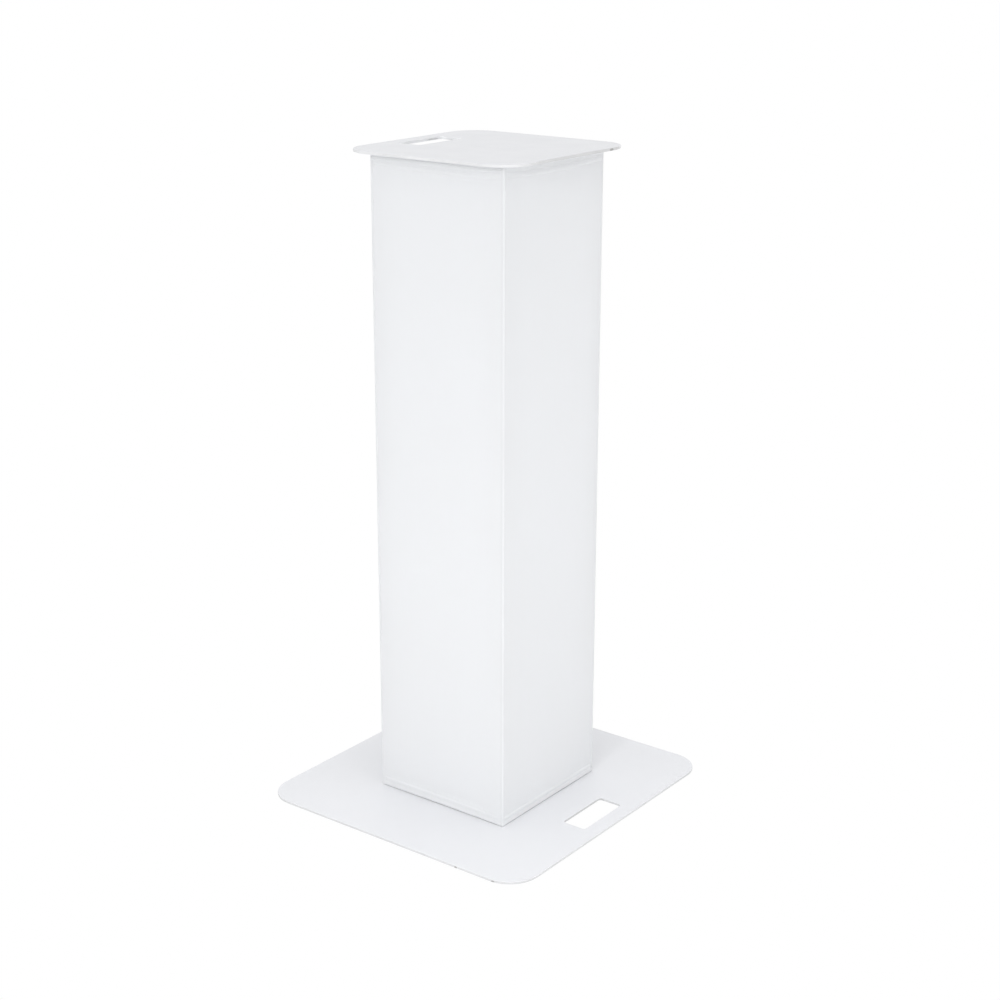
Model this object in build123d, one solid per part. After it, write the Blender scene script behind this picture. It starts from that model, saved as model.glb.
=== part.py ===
"""Covered display stand: two steel plates on four square posts, inside a zipped stretch cover.

Millimetres. The origin is on the floor under the middle of the base plate, +Z is up, the front is -Y.
"""
from build123d import *
import os

# Steelwork
floor_pad_diameter = 30
floor_pad_thickness = 2
floor_pad_inset = 45            # pad centre to the base plate's edges
plate_thickness = 4
base_width = 496                # along X
base_depth = 513                # along Y
top_side = 304
plate_corner_radius = 50
plate_edge_radius = 0.8         # softened by the powder coat
slot_length = 100               # along Y, a hand's width
slot_width = 40                 # along X
slot_corner_radius = 5
slot_edge_margin = 25           # from the slot's long side to the plate's edge
post_length = 1000
post_side = 25
post_wall = 2
post_corner_radius = 3
frame_side = 237                # over the outer faces of the four posts
spigot_side = 20
spigot_wall = 2
spigot_corner_radius = 2
spigot_length = 60
screw_height = 35               # from each plate's inner face to the screw's axis

# M6 button-head screw, washer and weld nut
screw_radius = 3
screw_length = 12
screw_head_radius = 5.25
screw_head_height = 3.3
screw_socket_across_flats = 4
screw_socket_depth = 2
screw_hole_radius = 3.3
washer_radius = 6
washer_thickness = 1.6
nut_across_flats = 10
nut_thickness = 5
nut_bore_radius = 3.05

# Cover
cover_side = 241                # over the cloth
cloth_thickness = 0.5
lower_gap = 0.8                 # from the base plate to the lower hem
upper_gap = 3                   # from the upper hem to the top plate
seam_drop = 0.5                 # the corner seams hang this much lower than the hem
corner_seam_reach = 4.5         # each way from the corner
cover_corner_radius = 3
hem_height = 15
hem_depth = 1.8                 # outer face to the inner face of the fold
elastic_thickness = 0.7
elastic_height = 12
layer_gap = 0.05                # between layers of cloth

# Zip, down the middle of the rear wall
zip_opening_half_width = 8      # to the folded edges of the rear panels
zip_slit_half_width = 0.6       # between the two rows of teeth
tape_reach = 16                 # from the middle to the tape's outer edge
tape_thickness = 0.5
tape_end_margin = 3             # from the tape's end to the hem's edge
teeth_reach = 3.4
teeth_thickness = 1.8
teeth_below_hem = 25            # from the hem's upper edge to the top stops
stop_height = 4
box_height = 10
box_above_hem = 15              # from the hem's lower edge to the retaining box
box_reach = 3.6
slider_length = 14
slider_shoulder_half_width = 5.2  # at the upper end, which takes in the teeth
slider_tail_half_width = 4.5
slider_side_clearance = 0.3
slider_face_clearance = 0.25
slider_plate_thickness = 1.3
slider_corner_radius = 1.8
slider_blade_half_width = 0.3
slider_blade_length = 8
bridge_half_width = 1.1
bridge_opening_height = 2.0
bridge_opening_half_length = 3.5
bridge_bar = 1.4                # its legs and its top bar
pull_bar_radius = 0.65
pull_thickness = 1.2
pull_length = 28
pull_window_half_width = 1.6
pull_window_end = 7
pull_half_width = 3.4
pull_shoulder_radius = 0.6
pull_hole_radius = 1.5

# Heights
base_bottom = floor_pad_thickness
base_top = base_bottom + plate_thickness
top_bottom = base_top + post_length
cover_bottom = base_top + lower_gap
cover_top = top_bottom - upper_gap
teeth_top = cover_top - teeth_below_hem
box_bottom = cover_bottom + box_above_hem
teeth_bottom = box_bottom + box_height
slider_middle = teeth_top - slider_side_clearance - slider_length / 2

# Distances from the column's axis
post_middle = frame_side / 2 - post_side / 2
post_inner_face = post_middle - post_side / 2
cover_face = cover_side / 2
cloth_inner_face = cover_face - cloth_thickness
tape_outer_face = cloth_inner_face - layer_gap
tape_inner_face = tape_outer_face - tape_thickness
teeth_outer_face = cloth_inner_face + teeth_thickness
slider_outer_face = teeth_outer_face + slider_face_clearance + slider_plate_thickness
pull_pivot_face = slider_outer_face + bridge_opening_height / 2
panel_half_width = cover_face - corner_seam_reach

corners = {"front_left": (-1, -1), "front_right": (1, -1), "rear_left": (-1, 1), "rear_right": (1, 1)}


def slab(x_range, y_range, z_range):
    """A box given by its limits along each axis."""
    size = [high - low for low, high in (x_range, y_range, z_range)]
    middle = [(high + low) / 2 for low, high in (x_range, y_range, z_range)]
    return Pos(*middle) * Box(*size)


def cylinder_along_x(radius, x_range, y, z):
    """A round bar along X, between two values of x."""
    low, high = x_range
    return Pos((low + high) / 2, y, z) * Rot(0, 90, 0) * Cylinder(radius, high - low)


# Plates and pads

def steel_plate(width, depth, bottom, slot_direction):
    """A plate with rounded corners, and a carry slot beside its edge at +X (slot_direction +1) or -X (-1)."""
    slot_x = slot_direction * (width / 2 - slot_edge_margin - slot_width / 2)
    outline = RectangleRounded(width, depth, plate_corner_radius)
    outline -= Pos(slot_x, 0) * RectangleRounded(slot_width, slot_length, slot_corner_radius)
    plate = Pos(0, 0, bottom) * extrude(outline, plate_thickness)
    rims = plate.edges().group_by(Axis.Z)
    return fillet(rims[0] + rims[-1], plate_edge_radius)


def floor_pad(side_x, side_y):
    """A round self-adhesive rubber pad under a corner of the base plate."""
    x = side_x * (base_width / 2 - floor_pad_inset)
    y = side_y * (base_depth / 2 - floor_pad_inset)
    place = Pos(x, y, floor_pad_thickness / 2)
    return place * Cylinder(floor_pad_diameter / 2, floor_pad_thickness)


# Posts and their fixings

def square_tube(side, wall, corner_radius, length):
    """A square tube with rounded corners, standing on Z = 0."""
    section = RectangleRounded(side, side, corner_radius)
    section -= RectangleRounded(side - 2 * wall, side - 2 * wall, corner_radius - wall / 2)
    return extrude(section, length)


def screw_hole(side_x, side_y, z):
    """The clearance hole through the walls of a post and its spigot that face the other side's posts."""
    return cylinder_along_x(screw_hole_radius, sorted((0, side_x * post_middle)), side_y * post_middle, z)


def screw_heights():
    """The heights of a post's lower and upper screw."""
    return base_top + screw_height, top_bottom - screw_height


def post(side_x, side_y):
    """A corner post with a screw hole near each end."""
    tube = Pos(side_x * post_middle, side_y * post_middle, base_top)
    tube *= square_tube(post_side, post_wall, post_corner_radius, post_length)
    for z in screw_heights():
        tube -= screw_hole(side_x, side_y, z)
    return tube


def spigot(side_x, side_y, bottom, screw_z):
    """A short tube welded to a plate, which plugs into the end of a post."""
    tube = Pos(side_x * post_middle, side_y * post_middle, bottom)
    tube *= square_tube(spigot_side, spigot_wall, spigot_corner_radius, spigot_length)
    return tube - screw_hole(side_x, side_y, screw_z)


def screw():
    """A button-head screw along +X, with the underside of its head at X = 0."""
    head = cylinder_along_x(screw_head_radius, (-screw_head_height, 0), 0, 0)
    head = fillet(head.edges().sort_by(Axis.X)[0], screw_head_height * 0.6)
    socket = extrude(Plane.YZ * RegularPolygon(screw_socket_across_flats / 2, 6, major_radius=False),
                     screw_socket_depth)
    shank = cylinder_along_x(screw_radius, (0, screw_length), 0, 0)
    return head + shank - Pos(-screw_head_height, 0, 0) * socket


def washer():
    """A flat washer with its outer face at X = 0, reaching along +X."""
    disc = cylinder_along_x(washer_radius, (0, washer_thickness), 0, 0)
    return disc - cylinder_along_x(screw_hole_radius, (0, washer_thickness), 0, 0)


def weld_nut():
    """A hexagonal nut with its outer face at X = 0, reaching along +X."""
    hexagon = RegularPolygon(nut_across_flats / 2, 6, major_radius=False)
    return extrude(Plane.YZ * (hexagon - Circle(nut_bore_radius)), nut_thickness)


def four_fixings(fixing, inset, z):
    """One copy of a fixing at each post, its X = 0 face at inset from the post's inner face."""
    copies = []
    for side_x, side_y in corners.values():
        place = Pos(side_x * (post_inner_face + inset), side_y * post_middle, z)
        if side_x < 0:
            place *= Rot(0, 0, 180)
        copies.append(place * fixing)
    return Compound(children=copies)


# Cover

def panel(x_range):
    """A cloth panel of the front wall, its upper and lower edges folded inwards as hems."""
    fold_inner = hem_depth - cloth_thickness
    outline = [
        (0, cover_bottom), (hem_depth, cover_bottom), (hem_depth, cover_bottom + hem_height),
        (fold_inner, cover_bottom + hem_height), (fold_inner, cover_bottom + cloth_thickness),
        (cloth_thickness, cover_bottom + cloth_thickness), (cloth_thickness, cover_top - cloth_thickness),
        (fold_inner, cover_top - cloth_thickness), (fold_inner, cover_top - hem_height),
        (hem_depth, cover_top - hem_height), (hem_depth, cover_top), (0, cover_top),
    ]
    section = Plane.YZ * make_face(Polyline([(depth - cover_face, z) for depth, z in outline], close=True))
    low, high = x_range
    return Pos(low, 0, 0) * extrude(section, high - low)


def on_wall(piece, quarter_turns):
    """Turn a piece of the front wall to the right (1), rear (2) or left (3) wall."""
    return Rot(0, 0, 90 * quarter_turns) * piece


def square_ring(outer_face, thickness, corner_radius, z_range):
    """A thin square ring of cloth or elastic round the posts."""
    outline = RectangleRounded(2 * outer_face, 2 * outer_face, corner_radius)
    inner_face = outer_face - thickness
    outline -= RectangleRounded(2 * inner_face, 2 * inner_face, corner_radius - thickness)
    low, high = z_range
    return Pos(0, 0, low) * extrude(outline, high - low)


def corner_seam(side_x, side_y):
    """The stitched strip that joins two panels round a corner of the column."""
    z_range = (cover_bottom - seam_drop, cover_top)
    ring = square_ring(cover_face, cloth_thickness, cover_corner_radius, z_range)
    reach = (panel_half_width, cover_face)
    return ring & slab(*[sorted(side * limit for limit in reach) for side in (side_x, side_y)], z_range)


def hem_elastic(z_range):
    """A flat elastic band inside a hem, open at the zip."""
    outer_face = cloth_inner_face - layer_gap
    corner_radius = cover_corner_radius - (cover_face - outer_face)
    band = square_ring(outer_face, elastic_thickness, corner_radius, z_range)
    zip_gap = tape_reach + 1
    return band - slab((-zip_gap, zip_gap), (0, cover_face), z_range)


# Zip, built on the rear wall; side is -1 for its left half and +1 for its right half

def zip_tape(side):
    """The woven tape behind the folded edge of a rear panel."""
    x_range = sorted((side * zip_slit_half_width, side * tape_reach))
    z_range = (cover_bottom + tape_end_margin, cover_top - tape_end_margin)
    return slab(x_range, (tape_inner_face, tape_outer_face), z_range)


def zip_teeth(side):
    """One half of the zip's coil, as the solid that its turns fill."""
    row = slab(sorted((side * zip_slit_half_width, side * teeth_reach)),
               (tape_outer_face, teeth_outer_face), (teeth_bottom, teeth_top))
    crown = row.faces().sort_by(Axis.Y)[-1].edges().filter_by(Axis.Z)
    return fillet(crown, teeth_thickness / 3)


def top_stops():
    """A crimped stop above each row of teeth."""
    y_range = (tape_outer_face, teeth_outer_face)
    z_range = (teeth_top, teeth_top + stop_height)
    x_ranges = [sorted((side * zip_slit_half_width, side * teeth_reach)) for side in (-1, 1)]
    return Compound(children=[slab(x_range, y_range, z_range) for x_range in x_ranges])


def retaining_box():
    """The box at the zip's lower end, which holds the two tapes together."""
    block = slab((-box_reach, box_reach), (tape_outer_face, teeth_outer_face), (box_bottom, teeth_bottom))
    return fillet(block.faces().sort_by(Axis.Y)[-1].edges(), teeth_thickness / 4)


def slider_plate(y_range):
    """One of the slider's two plates, narrower towards its lower end."""
    low, high = y_range
    reach = slider_length / 2
    outline = Polygon((-slider_tail_half_width, -reach), (slider_tail_half_width, -reach),
                      (slider_shoulder_half_width, reach), (-slider_shoulder_half_width, reach), align=None)
    outline = fillet(outline.vertices(), slider_corner_radius)
    return extrude(Pos(0, low, slider_middle) * (Plane.XZ * outline), low - high)


def slider():
    """The slider: two plates joined by a blade between the rows of teeth, side flanges and a bridge."""
    channel_face = teeth_outer_face + slider_face_clearance
    inner_plate_face = tape_inner_face - slider_face_clearance
    body = slider_plate((channel_face, slider_outer_face))
    body += slider_plate((inner_plate_face - slider_plate_thickness, inner_plate_face))
    body += slab((-slider_blade_half_width, slider_blade_half_width), (inner_plate_face, channel_face),
                 (slider_middle - slider_blade_length / 2, slider_middle + slider_blade_length / 2))
    flange_reach = slider_length / 2 - slider_corner_radius
    for side in (-1, 1):
        flange_x = sorted((side * (teeth_reach + slider_side_clearance), side * slider_tail_half_width))
        body += slab(flange_x, (tape_outer_face + slider_face_clearance, channel_face),
                     (slider_middle - flange_reach, slider_middle + flange_reach))
    return body + slider_bridge()


def slider_bridge():
    """The arch on the slider's outer plate, under which the pull tab's bar turns."""
    reach = bridge_opening_half_length + bridge_bar
    arch = slab((-bridge_half_width, bridge_half_width),
                (slider_outer_face, slider_outer_face + bridge_opening_height + bridge_bar),
                (slider_middle - reach, slider_middle + reach))
    arch = fillet(arch.faces().sort_by(Axis.Y)[-1].edges().filter_by(Axis.X), bridge_bar)
    opening = slab((-bridge_half_width, bridge_half_width),
                   (slider_outer_face, slider_outer_face + bridge_opening_height),
                   (slider_middle - bridge_opening_half_length, slider_middle + bridge_opening_half_length))
    return arch - opening


def pull_tab():
    """The pull tab: a plate hanging from a round bar under the slider's bridge."""
    outline = Pos(0, -pull_length / 2) * Rectangle(2 * pull_half_width, pull_length)
    ends = outline.vertices().group_by(Axis.Y)
    outline = fillet(ends[0], pull_half_width * 0.9)
    outline = fillet(outline.vertices().group_by(Axis.Y)[-1], pull_shoulder_radius)
    outline -= Pos(0, -pull_window_end / 2) * Rectangle(2 * pull_window_half_width, pull_window_end)
    outline -= Pos(0, pull_half_width - pull_length) * Circle(pull_hole_radius)
    blade = Rot(90, 0, 0) * extrude(outline, pull_thickness / 2, both=True)
    bar_half_length = pull_half_width - pull_shoulder_radius
    bar = cylinder_along_x(pull_bar_radius, (-bar_half_length, bar_half_length), 0, 0)
    return Pos(0, pull_pivot_face, slider_middle) * (blade + bar)


# All the pieces, by name

def steel_pieces():
    lower_screw_z, upper_screw_z = screw_heights()
    pieces = {
        "base_plate": steel_plate(base_width, base_depth, base_bottom, 1),
        "top_plate": steel_plate(top_side, top_side, top_bottom, -1),
    }
    for corner, (side_x, side_y) in corners.items():
        pieces["floor_pad_" + corner] = floor_pad(side_x, side_y)
        pieces["post_" + corner] = post(side_x, side_y)
        pieces["base_spigot_" + corner] = spigot(side_x, side_y, base_top, lower_screw_z)
        pieces["top_spigot_" + corner] = spigot(side_x, side_y, top_bottom - spigot_length, upper_screw_z)
    nut_inset = (post_side - spigot_side) / 2 + spigot_wall
    for level, z in (("lower", lower_screw_z), ("upper", upper_screw_z)):
        pieces[level + "_screws"] = four_fixings(screw(), -washer_thickness, z)
        pieces[level + "_washers"] = four_fixings(washer(), -washer_thickness, z)
        pieces[level + "_weld_nuts"] = four_fixings(weld_nut(), nut_inset, z)
    return pieces


def cover_pieces():
    whole_wall = (-panel_half_width, panel_half_width)
    half_wall = (zip_opening_half_width, panel_half_width)
    mirrored_half_wall = (-panel_half_width, -zip_opening_half_width)
    fold_line = cloth_thickness + layer_gap
    upper_band = (cover_top - fold_line - elastic_height, cover_top - fold_line)
    lower_band = (cover_bottom + fold_line, cover_bottom + fold_line + elastic_height)
    pieces = {
        "cover_front_panel": panel(whole_wall),
        "cover_right_panel": on_wall(panel(whole_wall), 1),
        "cover_left_panel": on_wall(panel(whole_wall), 3),
        "cover_rear_left_panel": on_wall(panel(half_wall), 2),
        "cover_rear_right_panel": on_wall(panel(mirrored_half_wall), 2),
        "top_hem_elastic": hem_elastic(upper_band),
        "bottom_hem_elastic": hem_elastic(lower_band),
    }
    for corner, (side_x, side_y) in corners.items():
        pieces["corner_seam_" + corner] = corner_seam(side_x, side_y)
    return pieces


def zip_pieces():
    return {
        "zip_tape_left": zip_tape(-1),
        "zip_tape_right": zip_tape(1),
        "zip_teeth_left": zip_teeth(-1),
        "zip_teeth_right": zip_teeth(1),
        "zip_top_stops": top_stops(),
        "zip_retaining_box": retaining_box(),
        "zip_slider": slider(),
        "zip_pull_tab": pull_tab(),
    }


os.makedirs("parts", exist_ok=True)
for name, shape in {**steel_pieces(), **cover_pieces(), **zip_pieces()}.items():
    export_step(shape, "parts/" + name + ".step")
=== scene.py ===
"""Looks of the covered display stand: stretch cover, stitching, zip, powder coat and steel.

Metres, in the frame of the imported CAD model: the origin is on the floor under the middle of the base
plate, +Z is up and the front is -Y. The cloth's places are worked out from the CAD cover's own boxes.
"""
import math
import bpy
import numpy as np
from mathutils import Matrix, Vector


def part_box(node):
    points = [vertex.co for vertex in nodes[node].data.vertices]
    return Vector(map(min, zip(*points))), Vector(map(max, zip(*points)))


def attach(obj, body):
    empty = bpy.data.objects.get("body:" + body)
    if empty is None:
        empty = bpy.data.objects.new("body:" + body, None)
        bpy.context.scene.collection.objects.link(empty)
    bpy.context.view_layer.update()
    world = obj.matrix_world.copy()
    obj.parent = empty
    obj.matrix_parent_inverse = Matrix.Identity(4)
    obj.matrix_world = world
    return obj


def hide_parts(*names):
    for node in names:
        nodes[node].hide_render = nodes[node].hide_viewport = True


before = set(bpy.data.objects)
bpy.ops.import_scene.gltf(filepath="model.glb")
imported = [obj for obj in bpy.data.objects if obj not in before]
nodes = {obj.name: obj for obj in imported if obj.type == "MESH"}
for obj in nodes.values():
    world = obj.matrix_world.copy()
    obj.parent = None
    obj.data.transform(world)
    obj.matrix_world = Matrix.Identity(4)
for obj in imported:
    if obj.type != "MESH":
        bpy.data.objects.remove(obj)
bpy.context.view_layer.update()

MM = 0.001
TURN = 2 * math.pi
forwards = (0.0, -1.0, 0.0)              # out of the front wall
backwards = (0.0, 1.0, 0.0)

# Camera
camera_azimuth = math.radians(37.13)     # from the front towards the right
camera_elevation = math.radians(18.05)
camera_roll = math.radians(0.10)
camera_distance = 2.833
camera_lens = 66.9                       # on a 36 mm sensor
camera_aim_height = 0.5014               # on the column's axis
camera_aim_right = 0.0183                # from the axis, in the picture's plane
camera_aim_up = -0.0257

# Cloth, from the CAD cover
front_low, front_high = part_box("cover_front_panel")
rear_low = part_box("cover_rear_right_panel")[0]
cloth_thickness = 0.5 * MM
cover_bottom = front_low.z
cover_height = front_high.z - front_low.z
cloth_middle = -front_low.y - cloth_thickness / 2        # from the axis to the middle of the cloth
fold_middle = -front_high.y + cloth_thickness / 2        # the same, in the inner leaf of a hem
fold_radius = (cloth_middle - fold_middle) / 2
panel_half_width = front_high.x
panel_cut_width = 245 * MM                               # of a whole wall's panel, with its seam allowances
zip_fold = 16 * MM                                       # of a rear panel's cloth, folded under at the zip
doubled_reach = 6 * MM                                   # how far from the zip that cloth lies double
zip_edge = rear_low.x                                    # the rear panels' folded edges at the zip
post_inner_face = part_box("post_front_right")[0].x
seam_drop = cover_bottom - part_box("corner_seam_front_right")[0].z
hem_height = 15 * MM
stitch_inset = 7.5 * MM                                  # the hem's middle row of stitches, from its edge
ridge_swell = 0.6 * MM
stitch_sink = 0.04 * MM                                  # of a hem's middle row of stitches
hem_stitch_sink = 0.30 * MM                              # of the row along the hem's far edge
seam_tuck = 0.6 * MM                                     # the panels' edges run this far under the seams
draw_in = 1.6 * MM                                       # of the cloth between the posts
draw_in_reach = 90 * MM                                  # from the cover's edges, where it is all there
hem_dip = 0.5 * MM                                       # of the cloth just above or below a hem
hem_dip_place = 21 * MM                                  # from the cover's edge
top_sag = 4.0 * MM                                       # of the top hem's lower row of stitches
top_edge_share = 0.45                                    # of that sag, at the cover's upper edge
bottom_rise = 0.5 * MM
sag_fade = 60 * MM                                       # the sag is down to 1/e this far under the hem
rise_fade = 50 * MM                                      # and the rise this far from the lower edge

# Unevenness of the cloth, as heights of its waves
front_seed = 0                                           # of the front wall's waves
pucker_height = 0.10 * MM                                # beside the corner seams
gather_height = 0.07 * MM                                # across the hems
drape_height = 0.22 * MM                                 # just above or below a hem
tension_height = 0.16 * MM                               # up the wall between the posts
crease_height = 0.13 * MM                                # of the close creases near the front wall's foot
crease_pitch = 6.5 * MM
crease_up = 185 * MM                                     # to their middle, from the cover's lower edge
crease_in = 9 * MM                                       # to their middle, from the front right seam

# Spacing of the cloth's points
even_spacing = 3 * MM                                    # along a wall
near_seam = 106 * MM                                     # from a wall's middle; closer points start here
near_zip = 18 * MM
leaf_spacing = 1.9 * MM                                  # up a hem's inner leaf
fold_rows = 7                                            # of points round a hem's fold

# Corner seams
seam_reach = 4.6 * MM                                    # from the corner, along each wall
seam_radius = 2.6 * MM
half_strip = seam_reach - seam_radius + math.pi / 4 * seam_radius    # from the strip's middle, along it
bead_swell = 0.25 * MM
groove_place = 3.45 * MM                                 # along the strip from its middle
groove_depth = 0.14 * MM
groove_width = 0.45 * MM
flange_rise = 0.16 * MM                                  # of the strip's edge, past the groove
seam_pucker_height = 0.06 * MM                           # of the bead, at each stitch
seam_wander = 0.06 * MM                                  # of the bead, sideways
seam_lump_height = 0.03 * MM
strip_thickness = 0.42 * MM

# Thread
stitch_pitch = 3.0 * MM
stitch_share = 0.8                                       # of the pitch that shows as thread
thread_radius = 0.17 * MM
zip_stitch_inset = 3 * MM                                # of the row along a rear panel's fold at the zip
row_end = 1 * MM                                         # from a row's end to a seam or a hem

# Zip
tape_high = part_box("zip_tape_right")[1]
teeth_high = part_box("zip_teeth_right")[1]
coil_pitch = 1.5 * MM
coil_wire_radius = 0.32 * MM
coil_slit_half_width = 0.36 * MM                         # clear of the slider's blade
coil_thread_radius = 0.11 * MM
tape_thickness = 0.4 * MM
tape_ripple = 0.03 * MM


# Meshes

def smooth(value, low, high):
    """0 at low, 1 at high, and an S-curve between them."""
    share = np.clip((value - low) / (high - low), 0, 1)
    return share * share * (3 - 2 * share)


def waves(seed, place, shortest, longest, count=5):
    """Sine waves of mixed lengths along a line, added up to a height between -1 and 1."""
    random = np.random.default_rng(seed)
    total = np.zeros_like(place)
    for _ in range(count):
        length = random.uniform(shortest, longest)
        total += np.sin(TURN * (place / length + random.uniform()))
    return total / count


def runs(*stretches):
    """Places along a line, from (low, high, spacing) stretches that follow each other."""
    places = []
    for low, high, spacing in stretches:
        count = max(1, round((high - low) / spacing))
        places.append(np.linspace(low, high, count, endpoint=False))
    places.append([stretches[-1][1]])
    return np.concatenate(places)


def turned(points, quarter_turns):
    """Points turned about the column's axis, from the front wall or corner to another one."""
    x, y, z = np.moveaxis(points, -1, 0)
    for _ in range(quarter_turns):
        x, y = -y, x
    return np.stack([x, y, z], axis=-1)


def grid_faces(rows, columns, start=0, wrap=False):
    """Four-sided faces of a grid of points, given row by row; wrap joins its last column to its first."""
    index = start + np.arange(rows * columns).reshape(rows, columns)
    beside = np.roll(index, -1, axis=1)
    if not wrap:
        index, beside = index[:, :-1], beside[:, :-1]
    return np.stack([index[:-1], beside[:-1], beside[1:], index[1:]], axis=-1).reshape(-1, 4)


def new_piece(name, vertices, faces, sharp_angle=50):
    """A smooth-shaded mesh object in the scene."""
    mesh = bpy.data.meshes.new(name)
    mesh.from_pydata(np.asarray(vertices).tolist(), [], [list(map(int, face)) for face in faces])
    mesh.shade_smooth()
    mesh.set_sharp_from_angle(angle=math.radians(sharp_angle))
    piece = bpy.data.objects.new(name, mesh)
    bpy.context.scene.collection.objects.link(piece)
    return piece


def cloth_solid(name, middle, thickness=cloth_thickness):
    """A closed sheet on both sides of a grid of points, whose columns run along it and rows run up."""
    normal = np.cross(np.gradient(middle, axis=1), np.gradient(middle, axis=0))
    normal /= np.linalg.norm(normal, axis=-1, keepdims=True)
    half = np.broadcast_to(thickness, middle.shape[:2])[..., None] / 2 * normal
    rows, columns = middle.shape[:2]
    count = rows * columns
    index = np.arange(count).reshape(rows, columns)
    border = np.concatenate([index[0, :-1], index[:-1, -1], index[-1, :0:-1], index[:0:-1, 0]])
    following = np.roll(border, -1)
    faces = [*grid_faces(rows, columns), *grid_faces(rows, columns, count)[:, ::-1],
             *np.stack([following, border, border + count, following + count], axis=-1)]
    vertices = np.concatenate([(middle + half).reshape(-1, 3), (middle - half).reshape(-1, 3)])
    return new_piece(name, vertices, faces)


def tube(points, side, radius, sides=6):
    """Vertices and faces of a closed round tube along points; side is a direction across it at each one."""
    along = np.gradient(points, axis=0)
    along /= np.linalg.norm(along, axis=1, keepdims=True)
    side = side - (side * along).sum(1, keepdims=True) * along
    side /= np.linalg.norm(side, axis=1, keepdims=True)
    other = np.cross(along, side)
    angle = np.arange(sides) * TURN / sides
    ring = np.cos(angle)[None, :, None] * side[:, None] + np.sin(angle)[None, :, None] * other[:, None]
    vertices = (points[:, None] + radius * ring).reshape(-1, 3)
    last = len(vertices) - sides
    ends = [list(range(sides))[::-1], list(range(last, last + sides))]
    return vertices, [*grid_faces(len(points), sides, wrap=True), *ends]


def joined(parts):
    """Several (vertices, faces) parts as one."""
    vertices, faces, start = [], [], 0
    for points, part_faces in parts:
        vertices.append(points)
        faces += [[start + corner for corner in face] for face in part_faces]
        start += len(points)
    return np.concatenate(vertices), faces


def stitches(line, outward, radius=thread_radius):
    """Parts for a row of stitches that start at the points of a line and rise out of it.

    Outward is one direction for all of them, or one for each.
    """
    share = np.linspace(0, 1, 5)
    rise = radius * (2.1 * np.sin(math.pi * share) - 0.95)      # the ends are sunk into the cloth
    parts = []
    for start, end, out in zip(line[:-1], line[1:], np.broadcast_to(outward, line.shape)):
        points = start + (end - start) * stitch_share * share[:, None] + out * rise[:, None]
        parts.append(tube(points, np.tile(out, (len(share), 1)), radius))
    return parts


# The cover's walls: along is the distance from a wall's middle, height is measured from the cover's
# lower edge before the hems sag, and out is the distance from the column's axis.

def wall_drop(along, height):
    """How much lower than its nominal height a point of the cloth hangs."""
    across = 1 - (along / panel_half_width) ** 2
    from_top = cover_height - height
    in_hem = top_edge_share + (1 - top_edge_share) * smooth(from_top, 0, hem_height)
    sag = in_hem * np.exp(-np.maximum(from_top - hem_height, 0) / sag_fade)
    rise = np.exp(-height / rise_fade)
    return across * (top_sag * sag - bottom_rise * rise)


def hem_swell(from_edge):
    """The two padded ridges of a hem, from 0 to 1, with a dip at each row of stitches."""
    start = 0.4                      # the outer ridge is cut off at the hem's edge
    share = np.where(from_edge < stitch_inset, start + (1 - start) * from_edge / stitch_inset,
                     (from_edge - stitch_inset) / (hem_height - stitch_inset))
    inside = (from_edge > 0) & (from_edge < hem_height)
    ridge = np.sin(math.pi * np.clip(share, 0, 1)) ** 0.75
    return np.where(inside, ridge * smooth(from_edge, 0, 1.6 * MM), 0)


def seam_puckers(seed, along, height):
    """Puckers that the corner seams draw into the cloth, and the close creases in the front wall."""
    beside = panel_half_width - np.abs(along)
    patches = np.clip(waves(seed, height, 70 * MM, 250 * MM), 0, 1) * pucker_height
    puckers = waves(seed + 1, height, 5 * MM, 11 * MM, 4) * patches * np.exp(-beside / (5 * MM))
    if seed != front_seed:
        return puckers
    patch = np.exp(-((height - crease_up) / (9 * MM)) ** 2 - ((beside - crease_in) / (6 * MM)) ** 2)
    creases = crease_height * patch * np.sin(TURN * height / crease_pitch)
    return puckers + np.where(along > 0, creases, 0)


def tuck(along):
    """How far in the cloth steps where it runs under a corner seam."""
    return cloth_thickness * smooth(np.abs(along) - panel_half_width, -0.9 * MM, 0)


def wall_out(seed, along, height):
    """How far out the middle of the cloth lies at a place on a wall."""
    from_edge = np.minimum(height, cover_height - height)
    beside = panel_half_width - np.abs(along)
    between_posts = np.clip(1 - (along / post_inner_face) ** 2, 0, 1)
    drawn = draw_in * between_posts * smooth(from_edge, 0, draw_in_reach)
    dip = hem_dip * np.exp(-((from_edge - hem_dip_place) / (6 * MM)) ** 2) * smooth(beside, 0, 30 * MM)
    swell = ridge_swell * hem_swell(from_edge) * (0.35 + 0.65 * smooth(beside, 0, 5 * MM))
    gathers = waves(seed + 10, along, 5 * MM, 12 * MM) * gather_height * smooth(from_edge, 0, 2 * MM)
    gathers *= np.exp(-np.maximum(from_edge - hem_height, 0) / (6 * MM))
    drape = waves(seed + 20, along, 18 * MM, 40 * MM) * drape_height
    drape *= np.exp(-np.abs(from_edge - 25 * MM) / (22 * MM)) * smooth(beside, 0, 20 * MM)
    tension = waves(seed + 30, height + 0.4 * along, 120 * MM, 500 * MM) * tension_height * between_posts
    sunk = hem_stitch_sink * np.exp(-((from_edge - hem_height) / (1.4 * MM)) ** 2)
    sunk += stitch_sink * np.exp(-((from_edge - stitch_inset) / (0.6 * MM)) ** 2)
    out = cloth_middle - drawn - dip + swell + gathers + drape + tension - tuck(along) - sunk
    return out + seam_puckers(seed, along, height)


def wall_points(along, height, out):
    """Front-wall points of the cloth, with its sag."""
    return np.stack([along, -out, cover_bottom + height - wall_drop(along, height)], axis=-1)


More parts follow.
